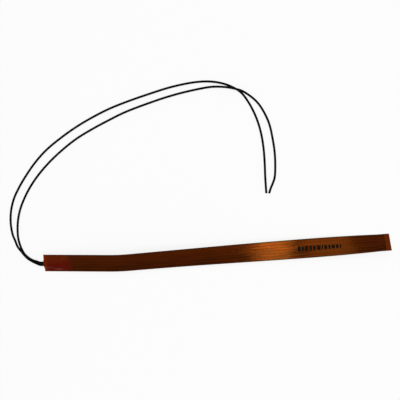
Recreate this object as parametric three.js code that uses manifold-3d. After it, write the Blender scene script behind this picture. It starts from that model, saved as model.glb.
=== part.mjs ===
// Flexible etched-foil heater strip with two leads, as it lies at rest on a table.
// Millimetres, +Z up, the strip's length along +X.
// The origin is the middle of the strip's own box, on the table; the leads are left out of that box.

import * as THREE from 'three';
import { mergeVertices } from 'three/addons/utils/BufferGeometryUtils.js';
import Module from 'manifold-3d';

const wasm = await Module();
wasm.setup();

// Laminate: two polyimide films with a bonded foil between them
const FILM_LENGTH = 228.6;
const FILM_WIDTH = 12.7;
const FILM_THICKNESS = 0.05;
const BOND_THICKNESS = 0.025;
const FOIL_THICKNESS = 0.025;
const LAYER_CLEARANCE = 0.02;

// Etched element: one track that runs up and down the strip
const TRACK_RUNS = 6;
const TRACK_GAP = 0.4;
const SIDE_MARGIN = 0.9;
const LEAD_END_MARGIN = 2;
const FAR_END_MARGIN = 3.3;
const TURN_LENGTH = 1.6;
const PAD_END = 11.2;
const PAD_GAP = 0.8;

// Rest shape: the flat tab at the leads, the crest after it, then a slow twist to the far end
const TAB_LENGTH = 41;
const CREST_LENGTH = 18;
const TAIL_LENGTH = 8;
const TAB_SLOPE_DEG = 5.8;
const CREST_SLOPE_DEG = -3.47;
const TAIL_SLOPE_DEG = 0.04;
const TAB_TILT_DEG = 28.8;
const TAIL_TILT_DEG = -31.6;
const TWIST_EXPONENT = 2.1;

// Leads: stranded conductor in its insulation
const LEAD_DIAMETER = 1.5;
const LEAD_PITCH = 1.75;
const LEAD_SEAT = 0.1;
const LEAD_INSIDE = 4.5;
const LEAD_STRAIGHT = 2.5;
const TABLE_CLEARANCE = 0.02;
const STRAND_DIAMETER = 0.25;
const STRAND_SPACING = 0.27;
const STRAND_LAY = 9;
const OUTER_STRANDS = 6;
const FACE_CLEARANCE = 0.3;

// Solder joints on the pads, in windows of the cover layers
const JOINT_CENTRE = 9;
const JOINT_OFFSET = 1.9;
const JOINT_LENGTH = 3;
const JOINT_WIDTH = 2.1;
const JOINT_HEIGHT = 1.2;
const SOLDER_UNDER = 0.08;
const STRANDS_END = 9.6;
const WIRE_DROP_START = 5;
const WIRE_DROP_LENGTH = 3;
const CHANNEL_CLEARANCE = 0.05;
const WINDOW_MARGIN = 0.2;
const WINDOW_CORNER = 0.4;

// Termination patch: a film tape draped over the leads and the joints
const PATCH_LENGTH = 18.4;
const PATCH_THICKNESS = 0.06;
const PATCH_INSET = 0.15;
const PATCH_CLEARANCE = 0.1;
const PATCH_FLANK = 2.3;
const PATCH_STEP_START = 5;
const PATCH_STEP_END = 8.2;
const PATCH_RUN_OUT = 3.8;

// How finely the shapes are divided
const CELL_LENGTH = 4.8;
const CUTTER_CELL = 13;
const PATCH_CELL_LENGTH = 1.4;
const PATCH_CELL_WIDTH = 0.9;
const WALK_STEP = 0.25;
const WINDOW_CORNER_SEGMENTS = 4;
const WELD_TOLERANCE = 1e-5;
const CUT_REACH = 0.6;
const OVERCUT = 1;
const LEAD_SIDES = 8;
const LEAD_STEPS = 72;
const ROUTE_DIVISIONS = 1000;
const STRAND_SIDES = 6;
const CHANNEL_SIDES = 12;
const DOME_SIDES = 20;
const DOME_RINGS = 12;
const STRAND_STEPS = 8;

// Heights of the layers over the back of the strip
const LOWER_BOND_BASE = FILM_THICKNESS + LAYER_CLEARANCE;
const FOIL_BASE = LOWER_BOND_BASE + BOND_THICKNESS + LAYER_CLEARANCE;
const UPPER_BOND_BASE = FOIL_BASE + FOIL_THICKNESS + LAYER_CLEARANCE;
const COVER_BASE = UPPER_BOND_BASE + BOND_THICKNESS + LAYER_CLEARANCE;
const STACK_TOP = COVER_BASE + FILM_THICKNESS;
const PAD_TOP = FOIL_BASE + FOIL_THICKNESS;

// Places that follow from the sizes above
const LEAD_HEIGHT = STACK_TOP + LEAD_SEAT + LEAD_DIAMETER / 2;
const BUNDLE_RADIUS = STRAND_SPACING + STRAND_DIAMETER / 2;
const JOINT_BASE = PAD_TOP + LAYER_CLEARANCE;
const CHANNEL_RADIUS = BUNDLE_RADIUS + CHANNEL_CLEARANCE;
const BUNDLE_HEIGHT = JOINT_BASE + SOLDER_UNDER + CHANNEL_RADIUS;
const ELEMENT_WIDTH = FILM_WIDTH - 2 * SIDE_MARGIN;
const TRACK_PITCH = (ELEMENT_WIDTH + TRACK_GAP) / TRACK_RUNS;

// The leads' routes over the table: plan place from the middle of the strip's lead end, and how far
// the lead is lifted where it doesn't lie on the table
const FRONT_ROUTE = [
  [-5.3, -0.3, 1.73], [-7.8, 0.8, 1.08], [-10.9, 2.6, 0.43], [-13.6, 5.1, 0.13], [-15, 6.9, 0.02],
  [-17.8, 10.4], [-19.6, 14.7], [-21.2, 18.6], [-22.5, 26.5], [-22.2, 34.5], [-20.3, 42.4],
  [-16.6, 50.3], [-11.9, 58.2], [-6.3, 66.2], [0.7, 74.1], [10.1, 82], [20.9, 89.7], [31.5, 96],
  [42.1, 101.4], [52.6, 105.7], [68.5, 111.3], [84.3, 116.2], [100.2, 119.3], [110.8, 119.5],
  [120.2, 117.5], [129.1, 112.8], [134.6, 105.8], [139.6, 95.9], [142.7, 86], [144.4, 76.1],
  [145.2, 66.2], [145.6, 56.3], [146.3, 45.8],
];
const BACK_ROUTE = [
  [-5, 1, 3.03], [-7.2, 1.6, 2.48], [-10.2, 3.2, 2.03], [-12.9, 5.6, 1.73], [-14.2, 7.5, 1.53],
  [-15.7, 10.4, 0.78], [-17.2, 14.7, 0.14], [-17.8, 18.6, 0.03], [-17.8, 26.5], [-16.4, 34.5],
  [-13.5, 42.4], [-9.4, 50.3], [-4, 58.2], [2.9, 66.2], [11.2, 74.1], [20.9, 81.8], [31.5, 88.3],
  [42.1, 94], [52.6, 99.2], [68.5, 105.3], [84.3, 110.5], [100.2, 114.4, 0.08],
  [110.8, 116.1, 0.58], [120.2, 115.7, 1.58], [126, 114.6, 1.7], [130.8, 113, 1.58],
  [138.5, 107.7, 0.33], [142.9, 102.5, 0.08], [147.9, 92.6], [150.3, 82.7], [151.8, 72.8],
  [152.2, 62.9], [151.8, 56.3], [150.8, 53], [149.4, 49.6], [148.1, 45.8],
];

const LEADS = [
  { name: 'lead_1', side: -1, route: FRONT_ROUTE },
  { name: 'lead_2', side: 1, route: BACK_ROUTE },
];

/** The strip's rest shape: a frame for each station along it, found by walking from the lead end. */
class RestShape {
  constructor() {
    const steps = Math.ceil(FILM_LENGTH / WALK_STEP);
    this.step = FILM_LENGTH / steps;
    this.stops = [{ centre: new THREE.Vector3(), heading: 0 }];
    for (let i = 1; i <= steps; i++) {
      this.stops.push(this.nextStop(this.stops[i - 1], (i - 1) * this.step));
    }
  }

  /** The slope of the centre line, in radians. */
  pitch(s) {
    const crest = THREE.MathUtils.smoothstep(s, TAB_LENGTH, TAB_LENGTH + CREST_LENGTH);
    const fall = (CREST_SLOPE_DEG - TAB_SLOPE_DEG) * crest;
    const rise = (TAIL_SLOPE_DEG - CREST_SLOPE_DEG) * this.progress(s);
    return THREE.MathUtils.degToRad(TAB_SLOPE_DEG + fall + rise);
  }

  /** The sideways tilt, in radians; the back edge is high at the leads and low at the far end. */
  roll(s) {
    const turned = this.progress(s) ** TWIST_EXPONENT;
    return THREE.MathUtils.degToRad(TAB_TILT_DEG + (TAIL_TILT_DEG - TAB_TILT_DEG) * turned);
  }

  /** How far a station is through the twisted stretch, from 0 to 1. */
  progress(s) {
    return THREE.MathUtils.clamp((s - TAB_LENGTH) / (FILM_LENGTH - TAIL_LENGTH - TAB_LENGTH), 0, 1);
  }

  /** Film bends only out of its own plane, so a change of pitch on a tilted strip turns its heading. */
  nextStop(stop, s) {
    const middle = s + this.step / 2;
    const bend = this.pitch(s + this.step) - this.pitch(s);
    const turn = -Math.tan(this.roll(middle)) * bend / Math.cos(this.pitch(middle));
    const along = RestShape.direction(this.pitch(middle), stop.heading + turn / 2);
    return { centre: stop.centre.clone().addScaledVector(along, this.step), heading: stop.heading + turn };
  }

  static direction(pitch, heading) {
    const level = Math.cos(pitch);
    return new THREE.Vector3(level * Math.cos(heading), level * Math.sin(heading), Math.sin(pitch));
  }

  /** Centre, along, across and normal at a station; past the ends the strip is carried on straight. */
  frame(s) {
    const inside = THREE.MathUtils.clamp(s, 0, FILM_LENGTH);
    const place = inside / this.step;
    const index = Math.min(Math.floor(place), this.stops.length - 2);
    const [from, to] = [this.stops[index], this.stops[index + 1]];
    const heading = THREE.MathUtils.lerp(from.heading, to.heading, place - index);
    const along = RestShape.direction(this.pitch(inside), heading);
    const level = new THREE.Vector3(-Math.sin(heading), Math.cos(heading), 0);
    const across = level.clone().applyAxisAngle(along, this.roll(inside));
    const centre = from.centre.clone().lerp(to.centre, place - index).addScaledVector(along, s - inside);
    return { centre, along, across, normal: along.clone().cross(across) };
  }

  /** The point at a station, an offset to the back edge and a height over the back of the strip. */
  point(s, offset, height) {
    const { centre, across, normal } = this.frame(s);
    return centre.addScaledVector(across, offset).addScaledVector(normal, height);
  }
}

const strip = new RestShape();

/** Numbers from one value to another in equal steps of about a given length. */
function spread(from, to, step) {
  const count = Math.max(1, Math.round((to - from) / step));
  return Array.from({ length: count + 1 }, (_, i) => from + (to - from) * i / count);
}

/** Points on the strip, one row for each station, at a height that may change from place to place. */
function gridOnStrip(stations, offsets, heightAt) {
  return stations.map((s) => offsets.map((v) => strip.point(s, v, heightAt(s, v))));
}

/** One closed sheet between two matching grids of points, the first under the second. */
function sheetBetween(under, over) {
  const [rows, columns] = [under.length, under[0].length];
  const number = (layer, i, j) => (layer * rows + i) * columns + j;
  const faces = [];
  for (let i = 0; i < rows - 1; i++) {
    for (let j = 0; j < columns - 1; j++) {
      const cell = [[i, j], [i + 1, j], [i + 1, j + 1], [i, j + 1]];
      const [a, b, c, d] = cell.map(([row, column]) => number(1, row, column));
      const [e, f, g, h] = cell.map(([row, column]) => number(0, row, column));
      faces.push(a, b, c, a, c, d, e, g, f, e, h, g);
    }
  }
  const rim = [
    ...under.slice(1).map((_, i) => [i, 0]),
    ...under[0].slice(1).map((_, j) => [rows - 1, j]),
    ...under.slice(1).map((_, i) => [rows - 1 - i, columns - 1]),
    ...under[0].slice(1).map((_, j) => [0, columns - 1 - j]),
  ];
  rim.forEach(([i, j], n) => {
    const [k, l] = rim[(n + 1) % rim.length];
    const [a, b] = [number(0, i, j), number(0, k, l)];
    const [c, d] = [number(1, k, l), number(1, i, j)];
    faces.push(a, b, c, a, c, d);
  });
  const geometry = new THREE.BufferGeometry().setFromPoints([...under.flat(), ...over.flat()]);
  return geometry.setIndex(faces);
}

/** A block that follows the strip, between two stations, two offsets and two heights. */
function blockOnStrip(stations, offsets, low, high) {
  const under = gridOnStrip(stations, offsets, () => low);
  const over = gridOnStrip(stations, offsets, () => high);
  return sheetBetween(under, over);
}

/** The closed mesh as a solid that can be cut. */
function solidOf(geometry) {
  const bare = geometry.clone();
  bare.deleteAttribute('normal');
  bare.deleteAttribute('uv');
  const merged = mergeVertices(bare, WELD_TOLERANCE);
  return new wasm.Manifold(new wasm.Mesh({
    numProp: 3,
    vertProperties: Float32Array.from(merged.attributes.position.array),
    triVerts: Uint32Array.from(merged.index.array),
  }));
}

/** The cut solid as a mesh again. */
function geometryOf(solid) {
  const mesh = solid.getMesh();
  const geometry = new THREE.BufferGeometry();
  geometry.setAttribute('position', new THREE.BufferAttribute(mesh.vertProperties, 3));
  geometry.setIndex(new THREE.BufferAttribute(mesh.triVerts, 1));
  return geometry;
}

/** A shape with pieces cut away. */
function cut(geometry, cutters) {
  const left = cutters.reduce((solid, cutter) => solid.subtract(solidOf(cutter)), solidOf(geometry));
  return geometryOf(left);
}

/** A named piece in a finish of its own. */
function piece(name, geometry, { color, roughness, metalness }) {
  geometry.computeVertexNormals();
  const mesh = new THREE.Mesh(geometry, new THREE.MeshStandardMaterial({ color, roughness, metalness }));
  mesh.name = name;
  return mesh;
}

const FINISH = {
  film: { color: 0x5a240c, roughness: 0.3, metalness: 0 },
  bond: { color: 0x7a4a1c, roughness: 0.5, metalness: 0 },
  foil: { color: 0xb08a5a, roughness: 0.35, metalness: 1 },
  solder: { color: 0xb9bbbd, roughness: 0.3, metalness: 1 },
  copper: { color: 0xc98a5e, roughness: 0.3, metalness: 1 },
  insulation: { color: 0x0b0b0c, roughness: 0.45, metalness: 0 },
  patch: { color: 0x6e1c0a, roughness: 0.35, metalness: 0 },
};

// Laminate

const LAYER_STATIONS = [0, ...spread(TAB_LENGTH, FILM_LENGTH, CELL_LENGTH)];
const FILM_EDGES = [-FILM_WIDTH / 2, FILM_WIDTH / 2];

/** One full-size layer of the laminate. */
function layer(base, thickness) {
  return blockOnStrip(LAYER_STATIONS, FILM_EDGES, base, base + thickness);
}

/** The rounded windows over the pads, as cutters that stand through the cover layers. */
function padWindows() {
  const [length, width] = [JOINT_LENGTH + 2 * WINDOW_MARGIN, JOINT_WIDTH + 2 * WINDOW_MARGIN];
  return LEADS.map(({ side }) => {
    const outline = roundedOutline(length, width, WINDOW_CORNER);
    const window = new THREE.ExtrudeGeometry(outline, {
      depth: 2 * CUT_REACH, bevelEnabled: false, curveSegments: WINDOW_CORNER_SEGMENTS,
    });
    window.translate(JOINT_CENTRE, side * JOINT_OFFSET, COVER_BASE - CUT_REACH);
    return window.applyMatrix4(tabMatrix());
  });
}

/** A rectangle with round corners, centred on the origin. */
function roundedOutline(length, width, radius) {
  const [x, y] = [length / 2, width / 2];
  const outline = new THREE.Shape();
  outline.moveTo(-x + radius, -y);
  outline.lineTo(x - radius, -y);
  outline.absarc(x - radius, -y + radius, radius, -Math.PI / 2, 0);
  outline.lineTo(x, y - radius);
  outline.absarc(x - radius, y - radius, radius, 0, Math.PI / 2);
  outline.lineTo(-x + radius, y);
  outline.absarc(-x + radius, y - radius, radius, Math.PI / 2, Math.PI);
  outline.lineTo(-x, -y + radius);
  outline.absarc(-x + radius, -y + radius, radius, Math.PI, Math.PI * 1.5);
  return outline;
}

/** The flat tab's own axes: along, across and out of the film, from the middle of the lead end. */
function tabMatrix() {
  const { along, across, normal } = strip.frame(0);
  return new THREE.Matrix4().makeBasis(along, across, normal);
}

/** What the etch takes out of the foil: its margins, the gaps between runs and the one between the pads. */
function etchedAway() {
  const clear = (from, to, low, high) => blockOnStrip(
    spread(from, to, CUTTER_CELL), [low, high], FOIL_BASE - CUT_REACH, FOIL_BASE + CUT_REACH,
  );
  const [edge, outside] = [ELEMENT_WIDTH / 2, FILM_WIDTH / 2 + OVERCUT];
  const [start, end] = [-OVERCUT, FILM_LENGTH + OVERCUT];
  const turnEnd = FILM_LENGTH - FAR_END_MARGIN - TURN_LENGTH;
  const turnStart = PAD_END + TRACK_GAP + TURN_LENGTH;
  const gaps = Array.from({ length: TRACK_RUNS - 1 }, (_, i) => {
    const middle = -edge + (i + 1) * TRACK_PITCH - TRACK_GAP / 2;
    const joinsAtFarEnd = i % 2 === 0;
    const [from, to] = joinsAtFarEnd ? [PAD_END, turnEnd] : [turnStart, end];
    return clear(from, to, middle - TRACK_GAP / 2, middle + TRACK_GAP / 2);
  });
  const firstGap = edge - TRACK_PITCH + TRACK_GAP;
  return [
    clear(start, end, -outside, -edge),
    clear(start, end, edge, outside),
    clear(start, LEAD_END_MARGIN, -outside, outside),
    clear(FILM_LENGTH - FAR_END_MARGIN, end, -outside, outside),
    clear(PAD_END, PAD_END + TRACK_GAP, -firstGap, firstGap),
    clear(start, PAD_END + TRACK_GAP / 2, -PAD_GAP / 2, PAD_GAP / 2),
    ...gaps,
  ];
}

function laminate() {
  const windows = padWindows();
  return [
    piece('base_film', layer(0, FILM_THICKNESS), FINISH.film),
    piece('base_bond_ply', layer(LOWER_BOND_BASE, BOND_THICKNESS), FINISH.bond),
    piece('heating_foil', cut(layer(FOIL_BASE, FOIL_THICKNESS), etchedAway()), FINISH.foil),
    piece('cover_bond_ply', cut(layer(UPPER_BOND_BASE, BOND_THICKNESS), windows), FINISH.bond),
    piece('cover_film', cut(layer(COVER_BASE, FILM_THICKNESS), windows), FINISH.film),
  ];
}

// Termination

/** The middle line of one bare conductor, from the cut insulation down to its pad, in the tab's axes. */
class ConductorPath extends THREE.Curve {
  constructor(side, from, to) {
    super();
    Object.assign(this, { side, from, to });
  }

  getPoint(t, target = new THREE.Vector3()) {
    const s = THREE.MathUtils.lerp(this.from, this.to, t);
    const dropped = THREE.MathUtils.smoothstep(s, WIRE_DROP_START, WIRE_DROP_START + WIRE_DROP_LENGTH);
    const offset = THREE.MathUtils.lerp(LEAD_PITCH / 2, JOINT_OFFSET, dropped);
    return target.set(s, this.side * offset, THREE.MathUtils.lerp(LEAD_HEIGHT, BUNDLE_HEIGHT, dropped));
  }
}

/** A line at a fixed distance from a conductor's middle line, winding round it once in each lay. */
class StrandPath extends THREE.Curve {
  constructor(middle, distance, startAngle) {
    super();
    const frames = middle.computeFrenetFrames(STRAND_STEPS, false);
    const length = middle.getLength();
    this.points = frames.normals.map((normal, i) => {
      const u = i / STRAND_STEPS;
      const angle = startAngle + 2 * Math.PI * u * length / STRAND_LAY;
      return middle.getPointAt(u)
        .addScaledVector(normal, distance * Math.cos(angle))
        .addScaledVector(frames.binormals[i], distance * Math.sin(angle));
    });
    this.line = new THREE.CatmullRomCurve3(this.points);
  }

  getPoint(t, target = new THREE.Vector3()) {
    return this.line.getPoint(t, target);
  }
}

/** A round rod along a curve. */
function rodAlong(path, diameter, steps, sides) {
  const section = new THREE.Shape(spread(0, 2 * Math.PI, 2 * Math.PI / sides).slice(0, -1).map(
    (angle) => new THREE.Vector2(diameter / 2 * Math.cos(angle), diameter / 2 * Math.sin(angle)),
  ));
  return new THREE.ExtrudeGeometry(section, { steps, extrudePath: path, bevelEnabled: false });
}

/** The seven bare strands of one lead: a middle one and six round it. */
function strands({ name, side }) {
  const middle = new ConductorPath(side, LEAD_INSIDE + FACE_CLEARANCE, STRANDS_END);
  return Array.from({ length: OUTER_STRANDS + 1 }, (_, i) => {
    const distance = i === 0 ? 0 : STRAND_SPACING;
    const path = new StrandPath(middle, distance, 2 * Math.PI * i / OUTER_STRANDS);
    const rod = rodAlong(path, STRAND_DIAMETER, STRAND_STEPS, STRAND_SIDES);
    return piece(`${name}_strand_${i + 1}`, rod, FINISH.copper);
  });
}

/** A low dome of solder on the pad, with the conductor's channel in it. */
function solderJoint({ name, side }) {
  const offset = side * JOINT_OFFSET;
  const dome = new THREE.SphereGeometry(1, DOME_SIDES, DOME_RINGS);
  dome.scale(JOINT_LENGTH / 2, JOINT_WIDTH / 2, JOINT_HEIGHT);
  dome.translate(JOINT_CENTRE, offset, JOINT_BASE);
  const below = new THREE.BoxGeometry(2 * JOINT_LENGTH, 2 * JOINT_WIDTH, 2 * JOINT_HEIGHT);
  below.translate(JOINT_CENTRE, offset, JOINT_BASE - JOINT_HEIGHT);
  const channelPath = new ConductorPath(side, LEAD_INSIDE, STRANDS_END + CHANNEL_CLEARANCE);
  const channel = rodAlong(channelPath, 2 * CHANNEL_RADIUS, STRAND_STEPS, CHANNEL_SIDES);
  return piece(`${name}_solder_joint`, cut(dome, [below, channel]), FINISH.solder);
}

/** Underside of the patch: a tent over the leads that steps down over the joints and runs out. */
function patchUnderside(s, offset) {
  const blend = THREE.MathUtils.smoothstep(s, PATCH_STEP_START, PATCH_STEP_END);
  const overLeads = LEAD_SEAT + LEAD_DIAMETER + PATCH_CLEARANCE;
  const overJoints = JOINT_BASE + JOINT_HEIGHT + PATCH_CLEARANCE - STACK_TOP;
  const jointEnd = JOINT_CENTRE + JOINT_LENGTH / 2;
  const runOut = 1 - THREE.MathUtils.smoothstep(s, jointEnd, jointEnd + PATCH_RUN_OUT);
  const leadReach = (LEAD_PITCH + LEAD_DIAMETER) / 2 + PATCH_CLEARANCE;
  const jointReach = JOINT_OFFSET + JOINT_WIDTH / 2 + PATCH_CLEARANCE;
  const reach = THREE.MathUtils.lerp(leadReach, jointReach, blend);
  const flank = 1 - THREE.MathUtils.smoothstep(Math.abs(offset), reach, reach + PATCH_FLANK);
  return STACK_TOP + LAYER_CLEARANCE + THREE.MathUtils.lerp(overLeads, overJoints, blend) * runOut * flank;
}

function terminationPatch() {
  const half = FILM_WIDTH / 2 - PATCH_INSET;
  const stations = spread(0, PATCH_LENGTH, PATCH_CELL_LENGTH);
  const offsets = spread(-half, half, PATCH_CELL_WIDTH);
  const under = gridOnStrip(stations, offsets, patchUnderside);
  const over = gridOnStrip(stations, offsets, (s, v) => patchUnderside(s, v) + PATCH_THICKNESS);
  return piece('termination_patch', sheetBetween(under, over), FINISH.patch);
}

// Leads

/** The level of the table under the strip, which rests on its lowest corners. */
function tableLevel() {
  const corners = LAYER_STATIONS.flatMap((s) => FILM_EDGES.map((v) => strip.point(s, v, 0).z));
  return Math.min(...corners);
}

/** One lead's insulation: out of the patch, straight for a little, then along its route over the table. */
function insulation({ name, side, route }, table) {
  const inside = [LEAD_INSIDE, LEAD_INSIDE / 2, 0, -LEAD_STRAIGHT].map(
    (s) => strip.point(s, side * LEAD_PITCH / 2, LEAD_HEIGHT),
  );
  const lying = table + TABLE_CLEARANCE + LEAD_DIAMETER / 2;
  const outside = route.map(([x, y, lift = 0]) => new THREE.Vector3(x, y, lying + lift));
  const line = new THREE.CatmullRomCurve3([...inside, ...outside], false, 'centripetal');
  line.arcLengthDivisions = ROUTE_DIVISIONS;
  const rod = rodAlong(line, LEAD_DIAMETER, LEAD_STEPS, LEAD_SIDES);
  return piece(`${name}_insulation`, rod, FINISH.insulation);
}

// Assembly

const termination = new THREE.Group();
for (const lead of LEADS) {
  termination.add(solderJoint(lead), ...strands(lead));
}
termination.applyMatrix4(tabMatrix());

const heater = new THREE.Group();
heater.add(...laminate(), termination, terminationPatch());
heater.updateMatrixWorld(true);

const box = new THREE.Box3().setFromObject(heater, true);
const middle = box.getCenter(new THREE.Vector3());
const table = tableLevel();
heater.add(...LEADS.map((lead) => insulation(lead, table)));
heater.position.set(-middle.x, -middle.y, -box.min.z);

export default heater;
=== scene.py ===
"""Looks of a flexible etched-foil heater strip with two leads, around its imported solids.

Lengths are metres. +X runs along the strip from its leads to the far end, +Z is up, and the table
is at zero.
"""

import logging
from dataclasses import dataclass, field
from enum import Enum
from typing import Any, Sequence

import bmesh
import bpy
import numpy as np
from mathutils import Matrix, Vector

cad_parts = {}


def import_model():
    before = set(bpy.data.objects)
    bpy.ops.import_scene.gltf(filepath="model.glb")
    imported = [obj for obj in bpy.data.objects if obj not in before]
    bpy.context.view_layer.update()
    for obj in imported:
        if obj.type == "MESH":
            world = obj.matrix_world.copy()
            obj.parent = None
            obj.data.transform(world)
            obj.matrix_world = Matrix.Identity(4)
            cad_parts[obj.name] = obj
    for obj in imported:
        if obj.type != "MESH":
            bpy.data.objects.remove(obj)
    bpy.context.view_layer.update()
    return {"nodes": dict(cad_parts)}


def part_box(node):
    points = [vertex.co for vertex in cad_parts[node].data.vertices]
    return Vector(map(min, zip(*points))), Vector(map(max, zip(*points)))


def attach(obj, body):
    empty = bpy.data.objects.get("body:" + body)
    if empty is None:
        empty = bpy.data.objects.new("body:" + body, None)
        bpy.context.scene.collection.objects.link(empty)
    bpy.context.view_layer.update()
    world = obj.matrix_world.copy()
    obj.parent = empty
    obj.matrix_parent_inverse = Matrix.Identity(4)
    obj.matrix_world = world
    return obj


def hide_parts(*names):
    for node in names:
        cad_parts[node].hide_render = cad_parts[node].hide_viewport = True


LOG = logging.getLogger("heater_strip")
MM = 0.001
BODY = "root"
MAP_UNIT = 100.0  # millimetres in one unit of a piece's map
Array = np.ndarray


# Shader sockets and nodes


class Shade:
    """A shader socket or a number that takes part in ordinary arithmetic."""

    def __init__(self, kit: "NodeKit", source: Any) -> None:
        self.kit = kit
        self.source = source

    def _math(self, operation: str, *others: Any, first: Any = None) -> "Shade":
        """Adds one Math node.

        Args:
            operation: the Math node's operation.
            others: the values after the first one.
            first: the first value, where it isn't this socket.

        Returns:
            The node's result.
        """
        values = [self if first is None else first, *others]
        return self.kit.node("ShaderNodeMath", {"operation": operation}, dict(enumerate(values)))

    def __add__(self, other: Any) -> "Shade":
        """Sum."""
        return self._math("ADD", other)

    __radd__ = __add__

    def __sub__(self, other: Any) -> "Shade":
        """Difference."""
        return self._math("SUBTRACT", other)

    def __rsub__(self, other: Any) -> "Shade":
        """Difference from a number."""
        return self._math("SUBTRACT", self, first=other)

    def __mul__(self, other: Any) -> "Shade":
        """Product."""
        return self._math("MULTIPLY", other)

    __rmul__ = __mul__

    def __truediv__(self, other: Any) -> "Shade":
        """Quotient."""
        return self._math("DIVIDE", other)

    def __rtruediv__(self, other: Any) -> "Shade":
        """Quotient of a number and this."""
        return self._math("DIVIDE", self, first=other)

    def __gt__(self, other: Any) -> "Shade":
        """1 where this is greater, else 0."""
        return self._math("GREATER_THAN", other)

    def __lt__(self, other: Any) -> "Shade":
        """1 where this is less, else 0."""
        return self._math("LESS_THAN", other)

    def __abs__(self) -> "Shade":
        """Size without sign."""
        return self._math("ABSOLUTE")

    def larger(self, other: "Shade") -> "Shade":
        """The larger of this and another."""
        return self._math("MAXIMUM", other)

    def floor(self) -> "Shade":
        """The whole number below."""
        return self._math("FLOOR")

    def fraction(self) -> "Shade":
        """What is over the whole number below."""
        return self._math("FRACT")

    def between(self, low: float, high: float) -> "Shade":
        """1 between two values, else 0."""
        return (self > low) * (self < high)

    def ramp(self, low: float, high: float) -> "Shade":
        """A soft step from 0 at one value to 1 at another."""
        settings = {"interpolation_type": "SMOOTHSTEP"}
        values = {"Value": self, "From Min": low, "From Max": high, "To Min": 0.0, "To Max": 1.0}
        return self.kit.node("ShaderNodeMapRange", settings, values)


class NodeKit:
    """Adds the nodes of one material."""

    def __init__(self, name: str) -> None:
        """Starts an empty material of that name."""
        self.material = bpy.data.materials.new(name)
        self.material.use_nodes = True
        self.tree = self.material.node_tree
        self.tree.nodes.clear()

    def node(
        self, kind: str, settings: dict[str, Any], values: dict[Any, Any], output: Any = 0,
    ) -> Shade:
        """Adds a node.

        Args:
            kind: the node's type.
            settings: its properties.
            values: its sockets' values or links, by name or number.
            output: the socket that is handed back, by name or number.

        Returns:
            The chosen output.
        """
        made = self.tree.nodes.new(kind)
        for key, value in settings.items():
            setattr(made, key, value)
        for key, value in values.items():
            if isinstance(value, Shade):
                self.tree.links.new(value.source, made.inputs[key])
            else:
                made.inputs[key].default_value = value
        return Shade(self, made.outputs[output] if len(made.outputs) else None)

    def place(self) -> Shade:
        """Object coordinates."""
        return self.node("ShaderNodeTexCoord", {}, {}, "Object")

    def surface_map(self) -> tuple[Shade, Shade]:
        """The piece's own map.

        Returns:
            Millimetres along the piece and millimetres across or round it.
        """
        uv = self.node("ShaderNodeUVMap", {"uv_map": "Surface"}, {})
        split = self.node("ShaderNodeSeparateXYZ", {}, {0: uv}).source.node
        return tuple(Shade(self, split.outputs[i]) * MAP_UNIT for i in range(2))

    def stretched(self, along: Shade, across: Shade, along_size: float, across_size: float) -> Shade:
        """A vector for a pattern that is drawn out along the piece.

        Args:
            along: millimetres along.
            across: millimetres across.
            along_size: length of the pattern's unit, in millimetres.
            across_size: width of the pattern's unit, in millimetres.

        Returns:
            The vector.
        """
        values = {0: along / along_size, 1: across / across_size}
        return self.node("ShaderNodeCombineXYZ", {}, values)

    def noise(self, vector: Shade, detail: float = 2.0, rough: float = 0.5) -> Shade:
        """Noise between about 0.2 and 0.8."""
        values = {"Vector": vector, "Scale": 1.0, "Detail": detail, "Roughness": rough}
        return self.node("ShaderNodeTexNoise", {}, values)

    def mix(self, factor: Any, first: Any, second: Any) -> Shade:
        """A colour between two colours."""
        values = {0: factor, 6: first, 7: second}
        return self.node("ShaderNodeMix", {"data_type": "RGBA"}, values, 2)

    def bump(self, height: Shade, distance: float, strength: float = 1.0) -> Shade:
        """A normal that follows a height in millimetres."""
        values = {"Height": height, "Distance": distance * MM, "Strength": strength}
        return self.node("ShaderNodeBump", {}, values)

    def principled(self, values: dict[Any, Any]) -> bpy.types.Material:
        """Ends the material in a Principled shader.

        Args:
            values: the shader's sockets.

        Returns:
            The material.
        """
        return self.output(self.node("ShaderNodeBsdfPrincipled", {}, values))

    def output(self, shader: Shade) -> bpy.types.Material:
        """Ends the material in a shader and returns it."""
        self.node("ShaderNodeOutputMaterial", {}, {"Surface": shader})
        return self.material


def srgb(red: int, green: int, blue: int) -> tuple[float, float, float, float]:
    """A linear colour from display values.

    Args:
        red: 0 to 255.
        green: 0 to 255.
        blue: 0 to 255.

    Returns:
        Linear red, green, blue and an alpha of 1.
    """
    display = np.array([red, green, blue]) / 255
    linear = np.where(display < 0.04045, display / 12.92, ((display + 0.055) / 1.055) ** 2.4)
    return (*map(float, linear), 1.0)


# Meshes


def smooth_step(value: Array, low: float, high: float) -> Array:
    """0 below low, 1 above high and the cubic 3t^2 - 2t^3 between."""
    t = np.clip((value - low) / (high - low), 0, 1)
    return t * t * (3 - 2 * t)


def make_object(
    name: str, vertices: Array, faces: Array, surface_map: Array, sharp: float = 40,
) -> bpy.types.Object:
    """Puts arrays into a mesh object at the origin.

    Args:
        name: the piece's name.
        vertices: places, in metres.
        faces: four vertex numbers a row.
        surface_map: millimetres along and across, for each corner of each face.
        sharp: edges that turn more than this many degrees stay sharp.

    Returns:
        The object.
    """
    mesh = bpy.data.meshes.new(name)
    mesh.from_pydata(vertices.tolist(), [], faces.tolist())
    layer = mesh.uv_layers.new(name="Surface")
    layer.data.foreach_set("uv", (surface_map.reshape(-1, 2) / MAP_UNIT).astype(np.float32).ravel())
    mesh.shade_smooth()
    mesh.set_sharp_from_angle(angle=np.radians(sharp))
    made = bpy.data.objects.new(name, mesh)
    bpy.context.scene.collection.objects.link(made)
    return made


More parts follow.
